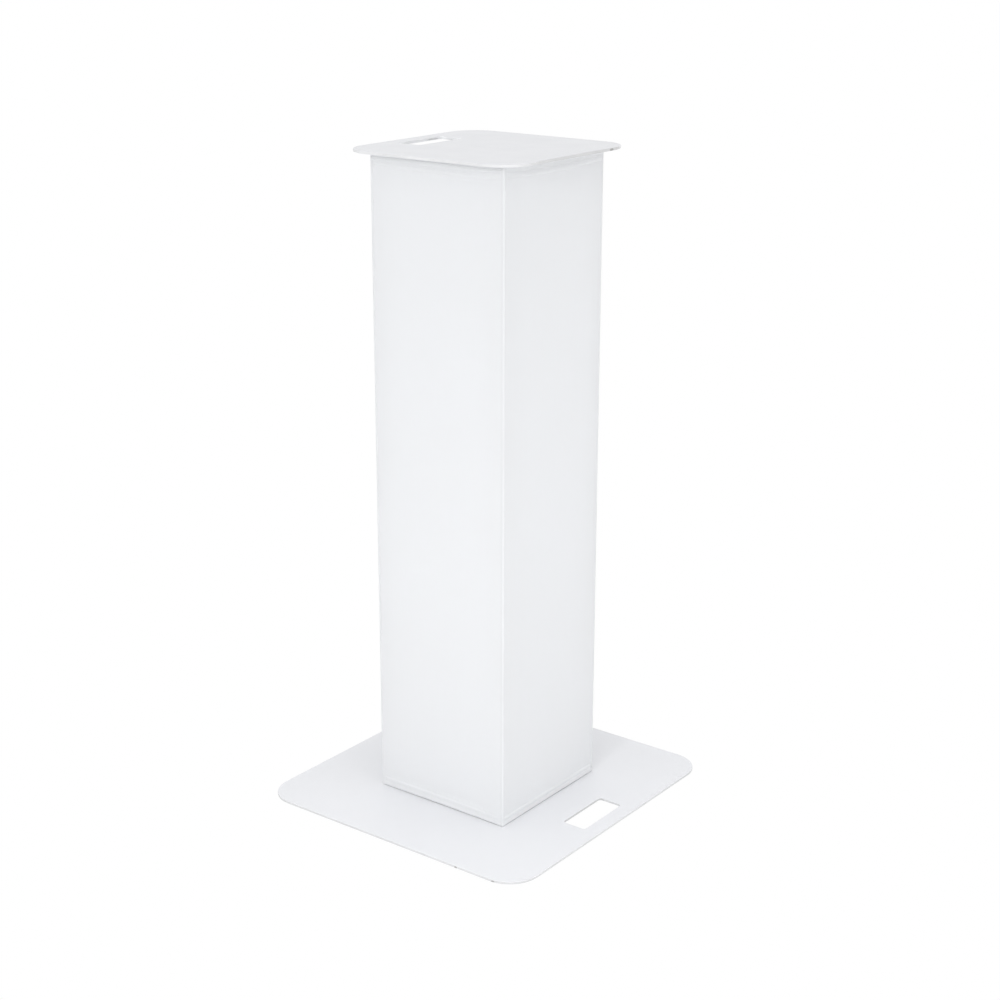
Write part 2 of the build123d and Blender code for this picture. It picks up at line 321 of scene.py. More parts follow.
def panel_heights():
    """Heights of a panel's rows of points on its outer leaf, close together where it curves."""
    past_hem = hem_height + 1 * MM
    past_drape = 45 * MM
    past_creases = 250 * MM
    return runs((fold_radius, past_hem, 0.45 * MM), (past_hem, past_drape, 1.5 * MM),
                (past_drape, past_creases, 2.2 * MM), (past_creases, cover_height - past_drape, 4.5 * MM),
                (cover_height - past_drape, cover_height - past_hem, 1.5 * MM),
                (cover_height - past_hem, cover_height - fold_radius, 0.45 * MM))


def panel_middle(seed, places, outer_leaf):
    """The middle of a panel's cloth: its outer leaf, and round a fold into a hem's inner leaf at each end.

    Places run along the wall, and outer_leaf says how far out the cloth lies there.
    """
    angle = np.linspace(0, math.pi, fold_rows + 2)[1:-1]
    fold_out = fold_middle + fold_radius * (1 - np.cos(angle))
    leaf = runs((fold_radius, hem_height, leaf_spacing))
    hem = [(height, fold_middle) for height in leaf[::-1]]
    hem += [(fold_radius * (1 - math.sin(a)), out) for a, out in zip(angle, fold_out)]
    rows = hem + [(height, None) for height in panel_heights()]
    rows += [(cover_height - height, out) for height, out in hem[::-1]]
    grid = []
    for height, out in rows:
        heights = np.full_like(places, height)
        if out is None:
            outs = outer_leaf(seed, places, heights)
        elif out > fold_middle:
            outs = out - tuck(places)
        else:
            outs = np.full_like(places, fold_middle)
        grid.append(wall_points(places, heights, outs))
    return np.array(grid)


def towards_seam(start):
    """Stretches of places from a start to the cloth's edge under a corner seam, close together beside it."""
    edge = panel_half_width + seam_tuck
    return ((start, near_seam, even_spacing), (near_seam, edge - 2 * MM, 1.2 * MM),
            (edge - 2 * MM, edge, 0.4 * MM))


def whole_wall_places():
    """Places along a whole wall."""
    half = runs(*towards_seam(1.4 * MM))
    return np.concatenate([-half[::-1], [0], half])


def rear_half_places():
    """Places from the zip to a corner, close together beside the zip too."""
    past_fold = zip_edge + 1.5 * MM
    return runs((zip_edge, past_fold, 0.25 * MM), (past_fold, near_zip, 1 * MM), *towards_seam(near_zip))


def folded_edge_thickness(places):
    """The rear panels' cloth is folded double beside the zip, and its fold is round."""
    from_edge = np.abs(places) - zip_edge
    pressed = 0.9                    # the second layer adds this much of the cloth's thickness
    double = cloth_thickness * (1 + pressed * (1 - smooth(from_edge, doubled_reach, doubled_reach + 1 * MM)))
    inward = 1 - np.clip(from_edge / (0.5 * MM), 0, 1)
    return double * np.sqrt(1 - 0.85 * inward ** 2)


def hem_stitching(seed, low, high):
    """Parts for the rows of stitches along both hems of a wall, between two places along it."""
    along = np.arange(low, high, stitch_pitch)
    parts = []
    for from_edge in (stitch_inset, hem_height):
        for height in (from_edge, cover_height - from_edge):
            heights = np.full_like(along, height)
            out = wall_out(seed, along, heights) + cloth_thickness / 2
            parts += stitches(wall_points(along, heights, out), forwards)
    return parts


def make_panel(name, node, seed, quarter_turns):
    """A whole wall of the cover, with its hems."""
    places = whole_wall_places()
    panel = cloth_solid(name, turned(panel_middle(seed, places, wall_out), quarter_turns))
    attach(panel, "stand")
    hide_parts(node)
    reach = panel_half_width - row_end
    vertices, faces = joined(hem_stitching(seed, -reach, reach))
    threads = new_piece(name + "_stitching", turned(vertices, quarter_turns), faces)
    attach(threads, "stand")
    return panel, threads


def rear_out(seed, along, height):
    """The rear wall's cloth, which stands a little further out where it is folded double beside the zip."""
    doubled = 1 - smooth(np.abs(along) - zip_edge, doubled_reach, doubled_reach + 1.5 * MM)
    flat = cloth_middle + 0.45 * cloth_thickness
    return wall_out(seed, along, height) * (1 - doubled) + flat * doubled


def make_rear_panel(name, node, seed, side):
    """Half of the rear wall, from the zip's tape to a corner; side is +1 towards +X."""
    places = -side * rear_half_places()
    if side > 0:
        places = places[::-1]
    middle = panel_middle(seed, places, rear_out)
    thickness = np.tile(folded_edge_thickness(places), (len(middle), 1))
    panel = cloth_solid(name, turned(middle, 2), thickness)
    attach(panel, "stand")
    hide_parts(node)
    low, high = sorted((-side * (zip_edge + 1.5 * row_end), -side * (panel_half_width - row_end)))
    parts = hem_stitching(seed, low, high)
    up = np.arange(hem_height + row_end, cover_height - hem_height - row_end, stitch_pitch)
    along = np.full_like(up, -side * (zip_edge + zip_stitch_inset))
    out = rear_out(seed, along, up) + cloth_thickness * 0.9     # about half of the doubled cloth
    parts += stitches(wall_points(along, up, out), forwards)
    vertices, faces = joined(parts)
    threads = new_piece(name + "_stitching", turned(vertices, 2), faces)
    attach(threads, "stand")
    return panel, threads


# Corner seams

def corner_points(across, out, up):
    """Points on a strip round the front right corner.

    Across is measured along the strip from its middle, and out from the cloth's face.
    """
    half_bend = math.pi / 4
    angle = np.clip(across / seam_radius, -half_bend, half_bend) - half_bend
    straight = np.sign(across) * np.maximum(np.abs(across) - half_bend * seam_radius, 0)
    centre = cloth_middle - seam_radius
    x = centre + (seam_radius + out) * np.cos(angle) + np.where(across < 0, straight, 0)
    y = -centre + (seam_radius + out) * np.sin(angle) + np.where(across > 0, straight, 0)
    return np.stack([x, y, up], axis=-1)


def seam_out(seed, across, up):
    """How proud of the cloth's face a seam's strip lies: a bead with a stitched groove each side."""
    wander = waves(seed, up, 30 * MM, 120 * MM) * seam_wander
    place = np.abs(across) + wander * np.sign(across)
    bead = bead_swell * np.clip(1 - (place / groove_place) ** 2, 0, 1) ** 0.6
    puckers = seam_pucker_height * np.cos(TURN * up / stitch_pitch) * smooth(place, 1.5 * MM, groove_place)
    groove = groove_depth * np.exp(-((place - groove_place) / groove_width) ** 2)
    flange = flange_rise * smooth(place, groove_place, groove_place + 0.6 * MM)
    lumps = waves(seed + 1, up, 6 * MM, 20 * MM) * seam_lump_height
    return bead + puckers - groove + flange + lumps


def make_corner_seam(name, node, seed, quarter_turns):
    """The strip that joins two walls of the cover at a corner, with its two rows of stitches."""
    low = cover_bottom - seam_drop
    high = cover_bottom + cover_height
    curl_radius = 0.5 * MM
    past_hem = low + 22 * MM
    across = runs((-half_strip, half_strip, 0.27 * MM))
    levels = runs((low + curl_radius, past_hem, 0.75 * MM), (past_hem, high - curl_radius, 1.5 * MM))
    rows = []
    for angle in np.linspace(-math.pi / 2, 0, 5)[:-1]:
        rows.append((low + curl_radius * (1 + math.sin(angle)), -curl_radius * (1 - math.cos(angle))))
    rows += [(level, 0.0) for level in levels]
    for angle in np.linspace(0, math.pi / 2, 5)[1:]:
        rows.append((high - curl_radius * (1 - math.sin(angle)), -curl_radius * (1 - math.cos(angle))))
    up, curl = (column[:, None] + np.zeros_like(across) for column in np.array(rows).T)
    across_grid = across + np.zeros_like(up)
    middle = corner_points(across_grid, seam_out(seed, across_grid, up) + curl, up)
    strip = cloth_solid(name, turned(middle, quarter_turns), strip_thickness)
    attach(strip, "stand")
    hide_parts(node)
    up = np.arange(low + 2 * MM, high - 1 * MM, stitch_pitch)
    parts = []
    for side in (-1, 1):
        place = np.full_like(up, side * groove_place)
        out = seam_out(seed, place, up) + strip_thickness / 2
        normal = corner_points(place, out + 1 * MM, up) - corner_points(place, out, up)
        parts += stitches(corner_points(place, out, up), normal / (1 * MM))
    vertices, faces = joined(parts)
    threads = new_piece(name + "_stitching", turned(vertices, quarter_turns), faces)
    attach(threads, "stand")
    return strip, threads


# Elastic, zip tapes and zip coils

def make_elastic(name, node, at_top):
    """A flat elastic band inside a hem, all round the column except at the zip, following the hem's sag."""
    low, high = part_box(node)
    face = -low.y
    thickness = 0.6 * MM
    middle = face - thickness / 2 - 0.05 * MM
    radius = 2 * MM                  # round the corners
    gap = tape_high.x + 1 * MM       # from the zip's middle
    straight = middle - radius
    side = runs((-straight, straight, 6 * MM))
    bend = np.linspace(0, math.pi / 2, 6)[1:-1]
    wall = np.stack([side, np.full_like(side, middle)], axis=-1)
    corner = np.stack([straight + radius * np.sin(bend), straight + radius * np.cos(bend)], axis=-1)
    from_zip = runs((gap, straight, 6 * MM))
    first = np.stack([from_zip, np.full_like(from_zip, middle)], axis=-1)
    last = np.stack([-from_zip[::-1], np.full_like(from_zip, middle)], axis=-1)
    path = []
    for turns, stretch in ((2, first), (2, corner), (3, wall), (3, corner), (0, wall), (0, corner),
                           (1, wall), (1, corner), (2, last)):
        points = np.stack([stretch[:, 0], -stretch[:, 1], np.zeros(len(stretch))], axis=-1)
        path.append((turned(points, turns), stretch[:, 0]))
    points = np.concatenate([p for p, _ in path])
    along = np.clip(np.concatenate([a for _, a in path]), -panel_half_width, panel_half_width)
    levels = runs((low.z, high.z, 1.5 * MM))
    height = levels[:, None] - cover_bottom + np.zeros_like(along)
    grid = np.tile(points, (len(levels), 1, 1))
    edge_height = np.full_like(height, cover_height if at_top else 0.0)
    grid[..., 2] = cover_bottom + height - wall_drop(along + np.zeros_like(height), edge_height)
    band = cloth_solid(name, grid, thickness)
    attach(band, "stand")
    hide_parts(node)
    return band


def make_tape(name, node, side):
    """Half of the zip's woven tape; side is +1 towards +X."""
    low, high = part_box(node)
    inner, outer = sorted((abs(low.x), abs(high.x)))
    places = -side * runs((inner, inner + 3 * MM, 0.3 * MM), (inner + 3 * MM, outer, 1.2 * MM))
    if side > 0:
        places = places[::-1]
    levels = runs((low.z, high.z, 4 * MM))
    along, up = np.meshgrid(places, levels)
    middle = (low.y + high.y) / 2
    ripple = waves(5 + side, up, 20 * MM, 60 * MM) * tape_ripple
    out = middle + ripple * smooth(np.abs(along), inner, outer)
    tape = cloth_solid(name, turned(np.stack([along, -out, up], axis=-1), 2), tape_thickness)
    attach(tape, "stand")
    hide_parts(node)
    return tape


def make_coil(name, node, side):
    """Half of the zip's nylon coil: a flattened helix on a core cord, sewn down by a chain of stitches."""
    low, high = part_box(node)
    reach = teeth_high.x
    centre = (coil_slit_half_width + reach) / 2
    half_width = (reach - coil_slit_half_width) / 2 - coil_wire_radius
    tape_face = tape_high.y
    crown = teeth_high.y
    centre_out = (tape_face + crown) / 2
    half_depth = (crown - tape_face) / 2 - coil_wire_radius
    turns = (high.z - low.z - 2 * coil_wire_radius) / coil_pitch
    angle = np.arange(0, turns * TURN, TURN / 12)
    squared = 0.8                    # below 1, the turns are flatter than an ellipse
    across = np.sign(np.cos(angle)) * np.abs(np.cos(angle)) ** squared
    depth = np.sign(np.sin(angle)) * np.abs(np.sin(angle)) ** squared
    phase = 0 if side > 0 else coil_pitch / 2
    shortened = 1 - coil_pitch / (high.z - low.z)        # room for the phase
    up = low.z + coil_wire_radius + (angle / TURN * coil_pitch + phase) * shortened
    points = np.stack([side * (centre - half_width * across), centre_out + half_depth * depth, up], axis=-1)
    outward = np.stack([-side * across, depth, np.zeros_like(angle)], axis=-1)
    parts = [tube(points, outward, coil_wire_radius, 5)]
    core_up = np.array([low.z + 0.2 * MM, high.z - 0.2 * MM])
    core = np.stack([np.full(2, side * centre), np.full(2, centre_out), core_up], axis=-1)
    parts.append(tube(core, np.tile([1.0, 0.0, 0.0], (2, 1)), half_depth - coil_wire_radius, 8))
    coil = new_piece(name, *joined(parts))
    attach(coil, "stand")
    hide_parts(node)
    sewn_up = np.arange(low.z + 1 * MM, high.z - 1 * MM, coil_pitch)
    parts = []
    sewn_out = np.full_like(sewn_up, crown - 0.12 * MM)
    for place in (centre - 0.55 * MM, centre + 0.75 * MM):
        line = np.stack([np.full_like(sewn_up, side * place), sewn_out, sewn_up], axis=-1)
        parts += stitches(line, backwards, coil_thread_radius)
    threads = new_piece(name + "_stitching", *joined(parts))
    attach(threads, "stand")
    return coil, threads


# Materials

def node(tree, kind, inputs=None, **settings):
    """A shader node with its settings, and with each input given as a value or as another node's output."""
    made = tree.nodes.new("ShaderNode" + kind)
    for key, value in settings.items():
        setattr(made, key, value)
    for key, value in (inputs or {}).items():
        if isinstance(value, bpy.types.NodeSocket):
            tree.links.new(value, made.inputs[key])
        else:
            made.inputs[key].default_value = value
    return made


def calc(tree, operation, *values):
    """The output of a math node."""
    return node(tree, "Math", dict(enumerate(values)), operation=operation).outputs[0]


def ramp(tree, value, low, high, to_low=0.0, to_high=1.0):
    """A value mapped from one range to another along an S-curve."""
    inputs = {0: value, 1: low, 2: high, 3: to_low, 4: to_high}
    return node(tree, "MapRange", inputs, interpolation_type="SMOOTHSTEP").outputs[0]


def noise(tree, place, scale, detail=2.0):
    """A noise texture's value, about 0 to 1."""
    return node(tree, "TexNoise", {"Vector": place, "Scale": scale, "Detail": detail}).outputs["Fac"]


def ribbed(tree, distance, pitch):
    """A sine wave, from -1 to 1, along a distance."""
    return calc(tree, "SINE", calc(tree, "MULTIPLY", distance, TURN / pitch))


def blend(tree, share, first, second):
    """A share of one value and the rest of another."""
    return calc(tree, "ADD", calc(tree, "MULTIPLY", first, share), calc(tree, "MULTIPLY", second, 1 - share))


def mixed(tree, share, first, second):
    """A mix of two colours."""
    return node(tree, "Mix", {0: share, 6: first, 7: second}, data_type="RGBA").outputs[2]


def bumped(tree, height, distance, below=None):
    """A normal bumped by a height, on top of another bump."""
    inputs = {"Height": height, "Distance": distance, "Strength": 1.0}
    if below is not None:
        inputs["Normal"] = below
    return node(tree, "Bump", inputs).outputs[0]


def place_in(tree):
    """The point being shaded, in the piece's own frame."""
    return node(tree, "TexCoord").outputs["Object"]


def axes(tree, vector):
    """The x, y and z of a vector."""
    return list(node(tree, "SeparateXYZ", {0: vector}).outputs)


def new_material(name):
    """An empty material, and its node tree."""
    material = bpy.data.materials.new(name)
    material.use_nodes = True
    material.node_tree.nodes.clear()
    return material, material.node_tree


def show(tree, shader):
    """Joins a shader to the material's output."""
    node(tree, "OutputMaterial", {"Surface": shader.outputs[0]})


def grey(level, blue=0.0, lift=1.6):
    """A grey, a little bluer or warmer; its blue rises lift times as far as its red falls."""
    return (level * (1 - blue), level, level * (1 + lift * blue), 1.0)


def spots(tree, place, marks):
    """How much of some ragged marks shows: each is a centre, a half size in x, y and z, and a strength."""
    rag = calc(tree, "MULTIPLY", calc(tree, "SUBTRACT", noise(tree, place, 900, 3), 0.5), 1.1)
    found = None
    for centre, half_size, strength in marks:
        off = node(tree, "VectorMath", {0: place, 1: centre}, operation="SUBTRACT").outputs[0]
        scaled = node(tree, "VectorMath", {0: off, 1: half_size}, operation="DIVIDE").outputs[0]
        reach = node(tree, "VectorMath", {0: scaled}, operation="LENGTH").outputs["Value"]
        inside = ramp(tree, calc(tree, "ADD", reach, rag), 1.1, 0.8, 0.0, strength)
        found = inside if found is None else calc(tree, "MAXIMUM", found, inside)
    return found


def within(tree, place, box, margin):
    """1 inside a box, given by its lowest and highest corners, or within a margin of it, and 0 elsewhere."""
    low, high = (Vector(corner) for corner in box)
    off = node(tree, "VectorMath", {0: place, 1: (low + high) / 2}, operation="SUBTRACT").outputs[0]
    half = (high - low) / 2 + Vector((margin, margin, margin))
    share = node(tree, "VectorMath", {0: off, 1: half}, operation="DIVIDE").outputs[0]
    x, y, z = axes(tree, node(tree, "VectorMath", {0: share}, operation="ABSOLUTE").outputs[0])
    most = calc(tree, "MAXIMUM", calc(tree, "MAXIMUM", x, y), z)
    return calc(tree, "LESS_THAN", most, 1.0)


def powder_coat(name, tone, rim_painted_shade_tone, slot=None, slot_painted_light_tone=None, marks=()):
    """White powder coat on steel: orange peel, faint clouding, chipped to the steel, and painted shade that
    darkens the rims.

    The cut edges inside the box of a slot take their own tone: painted shadow in the base plate's slot and
    painted light in the top plate's. Marks are chips, a darker patch, and painted shade and reflection at
    known places.
    """
    material, tree = new_material(name)
    place = place_in(tree)
    normal_z = axes(tree, node(tree, "TexCoord").outputs["Normal"])[2]
    flatness = calc(tree, "ABSOLUTE", normal_z)          # 1 on a plate's faces and 0 on its rims
    clouds = noise(tree, place, 7, 3)
    specks = noise(tree, place, 2600, 2)
    lift = 3.2                       # the coat is a little bluer than the cloth
    face = mixed(tree, clouds, grey(tone * 0.985, 0.009, lift), grey(tone * 1.012, 0.010, lift))
    face = mixed(tree, ramp(tree, specks, 0.62, 0.78), face, grey(tone * 0.93, 0.009, lift))
    if slot:
        in_slot = within(tree, place, slot, 1.5 * MM)
        # painted light and painted shadow on the slot's cut edges
        rim_painted_shade_tone = ramp(tree, in_slot, 0.0, 1.0, rim_painted_shade_tone, slot_painted_light_tone)
    edge_level = ramp(tree, noise(tree, place, 34, 3), 0.2, 0.8, 0.94, 1.06)
    # painted shade: the rims take the darker rim tone
    edge = mixed(tree, calc(tree, "MULTIPLY", edge_level, rim_painted_shade_tone), grey(0.0), grey(1.0, 0.008))
    colour = mixed(tree, ramp(tree, flatness, 0.8, 0.25), face, edge)
    chips = ramp(tree, noise(tree, place, 75, 4), 0.76, 0.79)
    chips = calc(tree, "MULTIPLY", chips, ramp(tree, flatness, 0.9, 0.5))
    if marks:
        chips = calc(tree, "MAXIMUM", spots(tree, place, marks), chips)
    colour = mixed(tree, chips, colour, grey(0.34, -0.01))
    normal = bumped(tree, noise(tree, place, 9, 1), 0.25 * MM)                 # waviness of the sheet
    normal = bumped(tree, noise(tree, place, 620, 1.5), 0.035 * MM, normal)    # orange peel
    normal = bumped(tree, noise(tree, place, 2400, 2), 0.006 * MM, normal)     # fine grain
    normal = bumped(tree, calc(tree, "SUBTRACT", 1.0, chips), 0.08 * MM, normal)
    roughness = calc(tree, "ADD", ramp(tree, noise(tree, place, 22, 3), 0.3, 0.7, 0.38, 0.48),
                     calc(tree, "MULTIPLY", chips, 0.15))
    show(tree, node(tree, "BsdfPrincipled", {"Base Color": colour, "Roughness": roughness, "Normal": normal,
                                             "IOR": 1.5}))
    return material


def knit_cloth(name, tone, see_through):
    """White stretch knit: fine wales up the wall, courses across them, a soft sheen and light through it.

    See_through is the share of the light that comes from behind.
    """
    material, tree = new_material(name)
    place = place_in(tree)
    x, y, z = axes(tree, place)
    along = calc(tree, "ADD", x, y)      # runs along every wall, as one of them is constant on each
    wander = calc(tree, "MULTIPLY", calc(tree, "SUBTRACT", noise(tree, place, 60, 2), 0.5), 0.5 * MM)
    wales = ribbed(tree, calc(tree, "ADD", along, wander), 0.8 * MM)
    courses = ribbed(tree, calc(tree, "ADD", z, wander), 0.55 * MM)
    loops = calc(tree, "MULTIPLY", wales, calc(tree, "ADD", calc(tree, "MULTIPLY", courses, 0.35), 0.65))
    clouds = noise(tree, place, 5, 2)
    drawn_up = node(tree, "Mapping", {"Vector": place, "Scale": (1.0, 1.0, 0.03)}, vector_type="POINT")
    streaks = noise(tree, drawn_up.outputs[0], 320, 2)
    level = blend(tree, 0.6, clouds, streaks)
    colour = mixed(tree, level, grey(tone * 0.985, 0.006), grey(tone * 1.012, 0.01))
    # painted shade: the knit's hollows, where the loops are low, are darkened
    colour = mixed(tree, ramp(tree, loops, -1.0, -0.3, 0.10, 0.0), colour, grey(tone * 0.8, 0.01))
    normal = bumped(tree, streaks, 0.03 * MM)
    normal = bumped(tree, loops, 0.012 * MM, normal)
    front = node(tree, "BsdfPrincipled", {"Base Color": colour, "Roughness": 0.82, "Normal": normal,
                                          "Sheen Weight": 0.12, "Sheen Roughness": 0.45,
                                          "Specular IOR Level": 0.25})
    behind = node(tree, "BsdfTranslucent", {"Color": colour, "Normal": normal})
    show(tree, node(tree, "MixShader", {0: see_through, 1: front.outputs[0], 2: behind.outputs[0]}))
    return material


def thread(name, tone):
    """White sewing thread, twisted."""
    material, tree = new_material(name)
    x, y, z = axes(tree, place_in(tree))
    length = calc(tree, "ADD", calc(tree, "ADD", x, y), z)
    twist = ribbed(tree, length, 0.45 * MM)
    # painted shade: the grooves of the twist are darker
    colour = mixed(tree, ramp(tree, twist, -1.0, 1.0), grey(tone * 0.93, 0.008), grey(tone, 0.008))
    show(tree, node(tree, "BsdfPrincipled", {"Base Color": colour, "Roughness": 0.6, "Sheen Weight": 0.2,
                                             "Normal": bumped(tree, twist, 0.02 * MM)}))
    return material


def webbing(name, tone):
    """Braided elastic: ribs across the band and a slightly hairy surface."""
    material, tree = new_material(name)
    x, y, z = axes(tree, place_in(tree))
    ribs = ribbed(tree, calc(tree, "ADD", x, y), 1.1 * MM)
    rows = ribbed(tree, z, 1.5 * MM)
    weave = blend(tree, 0.6, ribs, rows)
    # painted shade: the hollows of the weave are darker
    colour = mixed(tree, ramp(tree, weave, -1.0, 0.6), grey(tone * 0.82), grey(tone))
    normal = bumped(tree, weave, 0.06 * MM)
    show(tree, node(tree, "BsdfPrincipled", {"Base Color": colour, "Roughness": 0.85, "Normal": normal}))
    return material


def herringbone(name, tone):
    """Woven zip tape: slanted ribs that change direction every few millimetres across the tape."""
    material, tree = new_material(name)
    place = place_in(tree)
    x, _, z = axes(tree, place)
    zigzag = calc(tree, "PINGPONG", calc(tree, "ABSOLUTE", x), 2.5 * MM)
    ribs = ribbed(tree, calc(tree, "ADD", z, zigzag), 0.9 * MM)
    yarns = ribbed(tree, x, 0.5 * MM)
    weave = blend(tree, 0.7, ribs, yarns)
    worn = noise(tree, place, 40, 3)
    # painted shade: the hollows of the weave are darker
    colour = mixed(tree, ramp(tree, weave, -1.0, 0.5), grey(tone * 0.84, 0.004), grey(tone, 0.004))
    colour = mixed(tree, ramp(tree, worn, 0.35, 0.7, 0.0, 0.5), colour, grey(tone * 0.95, 0.0))
    normal = bumped(tree, weave, 0.05 * MM)
    show(tree, node(tree, "BsdfPrincipled", {"Base Color": colour, "Roughness": 0.78, "Sheen Weight": 0.1,
                                             "Normal": normal}))
    return material


def nylon(name, tone):
    """The zip coil's milky white monofilament."""
    material, tree = new_material(name)
    place = place_in(tree)
    clouds = noise(tree, place, 160, 3)
    colour = mixed(tree, clouds, grey(tone * 0.96), grey(tone, 0.01))
    roughness = ramp(tree, noise(tree, place, 500, 2), 0.3, 0.7, 0.28, 0.42)
    show(tree, node(tree, "BsdfPrincipled", {"Base Color": colour, "Roughness": roughness,
                                             "Subsurface Weight": 0.15, "Subsurface Scale": 0.4 * MM,
                                             "Normal": bumped(tree, clouds, 0.01 * MM)}))
    return material


def lacquered_metal(name, tone):
    """White lacquer on die-cast zinc, rubbed through to the metal in small spots."""
    material, tree = new_material(name)
    place = place_in(tree)
    worn = ramp(tree, noise(tree, place, 420, 4), 0.64, 0.68)
    clouds = noise(tree, place, 120, 3)
    paint = mixed(tree, clouds, grey(tone * 0.97, 0.004), grey(tone, 0.006))
    colour = mixed(tree, worn, paint, grey(0.55, 0.01))
    roughness = ramp(tree, clouds, 0.3, 0.7, 0.22, 0.34)
    roughness = calc(tree, "ADD", roughness, calc(tree, "MULTIPLY", worn, 0.15))
    normal = bumped(tree, noise(tree, place, 900, 2), 0.012 * MM)
    normal = bumped(tree, calc(tree, "SUBTRACT", 1.0, worn), 0.03 * MM, normal)
    show(tree, node(tree, "BsdfPrincipled", {"Base Color": colour, "Metallic": worn, "Roughness": roughness,
                                             "Coat Weight": 0.4, "Coat Roughness": 0.12, "Normal": normal}))
    return material


def zinc_steel(name):
    """Bright zinc plating: cool grey, with a faint spangle and turning marks."""
    material, tree = new_material(name)
    place = place_in(tree)
    x, _, _ = axes(tree, place)
    spangle = noise(tree, place, 260, 3)
    stain = noise(tree, place, 45, 2)
    colour = mixed(tree, spangle, grey(0.56, 0.02), grey(0.72, 0.03))
    colour = mixed(tree, ramp(tree, stain, 0.5, 0.75, 0.0, 0.35), colour, (0.60, 0.57, 0.47, 1.0))
    normal = bumped(tree, ribbed(tree, x, 0.3 * MM), 0.004 * MM)
    normal = bumped(tree, spangle, 0.02 * MM, normal)
    roughness = ramp(tree, stain, 0.3, 0.7, 0.28, 0.42)
    show(tree, node(tree, "BsdfPrincipled", {"Base Color": colour, "Metallic": 1.0, "Roughness": roughness,
                                             "Normal": normal}))
    return material


def pad_rubber(name):
    """Dark rubber: moulded grain, scuffed paler and dusty."""
    material, tree = new_material(name)
    place = place_in(tree)
    dust = ramp(tree, noise(tree, place, 90, 4), 0.45, 0.75)
    colour = mixed(tree, dust, grey(0.035), grey(0.085, -0.03))
    normal = bumped(tree, noise(tree, place, 1500, 2), 0.03 * MM)
    roughness = calc(tree, "ADD", 0.68, calc(tree, "MULTIPLY", dust, 0.2))
    show(tree, node(tree, "BsdfPrincipled", {"Base Color": colour, "Roughness": roughness, "Normal": normal}))
    return material


def give(piece, material):
    """Gives a piece one material."""
    piece.data.materials.clear()
    piece.data.materials.append(material)


def soften(piece, width):
    """Rounds the sharp edges of a CAD node that is shown as it is, once its doubled points are welded."""
    weld = piece.modifiers.new("weld", "WELD")
    weld.merge_threshold = 0.01 * MM
    bevel = piece.modifiers.new("bevel", "BEVEL")
    bevel.width = width
    bevel.segments = 2
    bevel.limit_method = "ANGLE"
    bevel.angle_limit = math.radians(40)


# Making the pieces

see_through = 0.38
cloth = knit_cloth("stretch_cloth", 0.93, see_through)
seam_cloth = knit_cloth("seam_cloth", 0.91, see_through)
thread_white = thread("sewing_thread", 0.91)
elastic = webbing("elastic_webbing", 0.80)
tape_cloth = herringbone("zip_tape_cloth", 0.84)
coil_nylon = nylon("zip_nylon", 0.86)
zip_metal = lacquered_metal("zip_metal", 0.84)

cut_height = cover_height + 2 * hem_height
whole_cut = (panel_cut_width, cut_height)
half_cut = (panel_half_width - zip_edge + zip_fold, cut_height)
panels = []
for wall, turns in (("front", 0), ("right", 1), ("left", 3)):
    piece_name = wall + "_panel"
    pair = make_panel(piece_name, "cover_" + piece_name, front_seed + 100 * turns, turns)
    panels.append((*pair, whole_cut))
for half, side in (("left", -1), ("right", 1)):
    piece_name = "rear_" + half + "_panel"
    pair = make_rear_panel(piece_name, "cover_" + piece_name, 200 + side, side)
    panels.append((*pair, half_cut))
for panel, threads, _ in panels:
    give(panel, cloth)
    give(threads, thread_white)

seam_pieces = []
for corner, turns in (("front_right", 0), ("rear_right", 1), ("rear_left", 2), ("front_left", 3)):
    strip, threads = make_corner_seam("seam_" + corner, "corner_seam_" + corner, 500 + 10 * turns, turns)
    give(strip, seam_cloth)
    give(threads, thread_white)
    seam_pieces += [strip, threads]

give(make_elastic("elastic_top", "top_hem_elastic", True), elastic)
give(make_elastic("elastic_bottom", "bottom_hem_elastic", False), elastic)
for half, side in (("left", -1), ("right", 1)):
    give(make_tape("tape_" + half, "zip_tape_" + half, side), tape_cloth)
    coil, threads = make_coil("coil_" + half, "zip_teeth_" + half, side)
    give(coil, coil_nylon)
    give(threads, thread_white)

base_low, base_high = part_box("base_plate")
top_low, top_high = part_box("top_plate")

# Boxes round the slots' cut edges, where the painted shadow and painted light go: only the one on the
# column's side in the base plate
slot_half_length = 50 * MM
base_slot_start = base_high.x - 65 * MM
base_slot_edge = ((base_slot_start, -slot_half_length, base_low.z),
                  (base_slot_start + 6 * MM, slot_half_length, base_high.z))
top_slot_start = top_low.x + 25 * MM
top_slot = ((top_slot_start, -slot_half_length, top_low.z),
            (top_slot_start + 40 * MM, slot_half_length, top_high.z))

# Marks in the coat, chips and painted shade among them: the centre, the half size and the strength of each
small_chip = (1.6 * MM, 1.6 * MM, 1.0 * MM)
base_marks = [
    (Vector((0.137, base_low.y, base_low.z + 1.6 * MM)), (2.4 * MM, 1.5 * MM, 1.9 * MM), 1.0),
    (Vector((0.205, base_low.y, base_low.z + 1.2 * MM)), (3.0 * MM, 2.2 * MM, 1.6 * MM), 1.0),
    (Vector((base_low.x, 0.06, base_low.z + 3.0 * MM)), small_chip, 1.0),
    (Vector((-0.09, base_high.y, base_low.z + 1.0 * MM)), (2.2 * MM, 1.5 * MM, 1.2 * MM), 1.0),
]
# painted shade along the top plate's +X rim, the side turned away from the lights
painted_rim_shade = (Vector((top_high.x, 0.030, top_low.z + 2.0 * MM)), (3.0 * MM, 0.13, 6.0 * MM), 0.30)
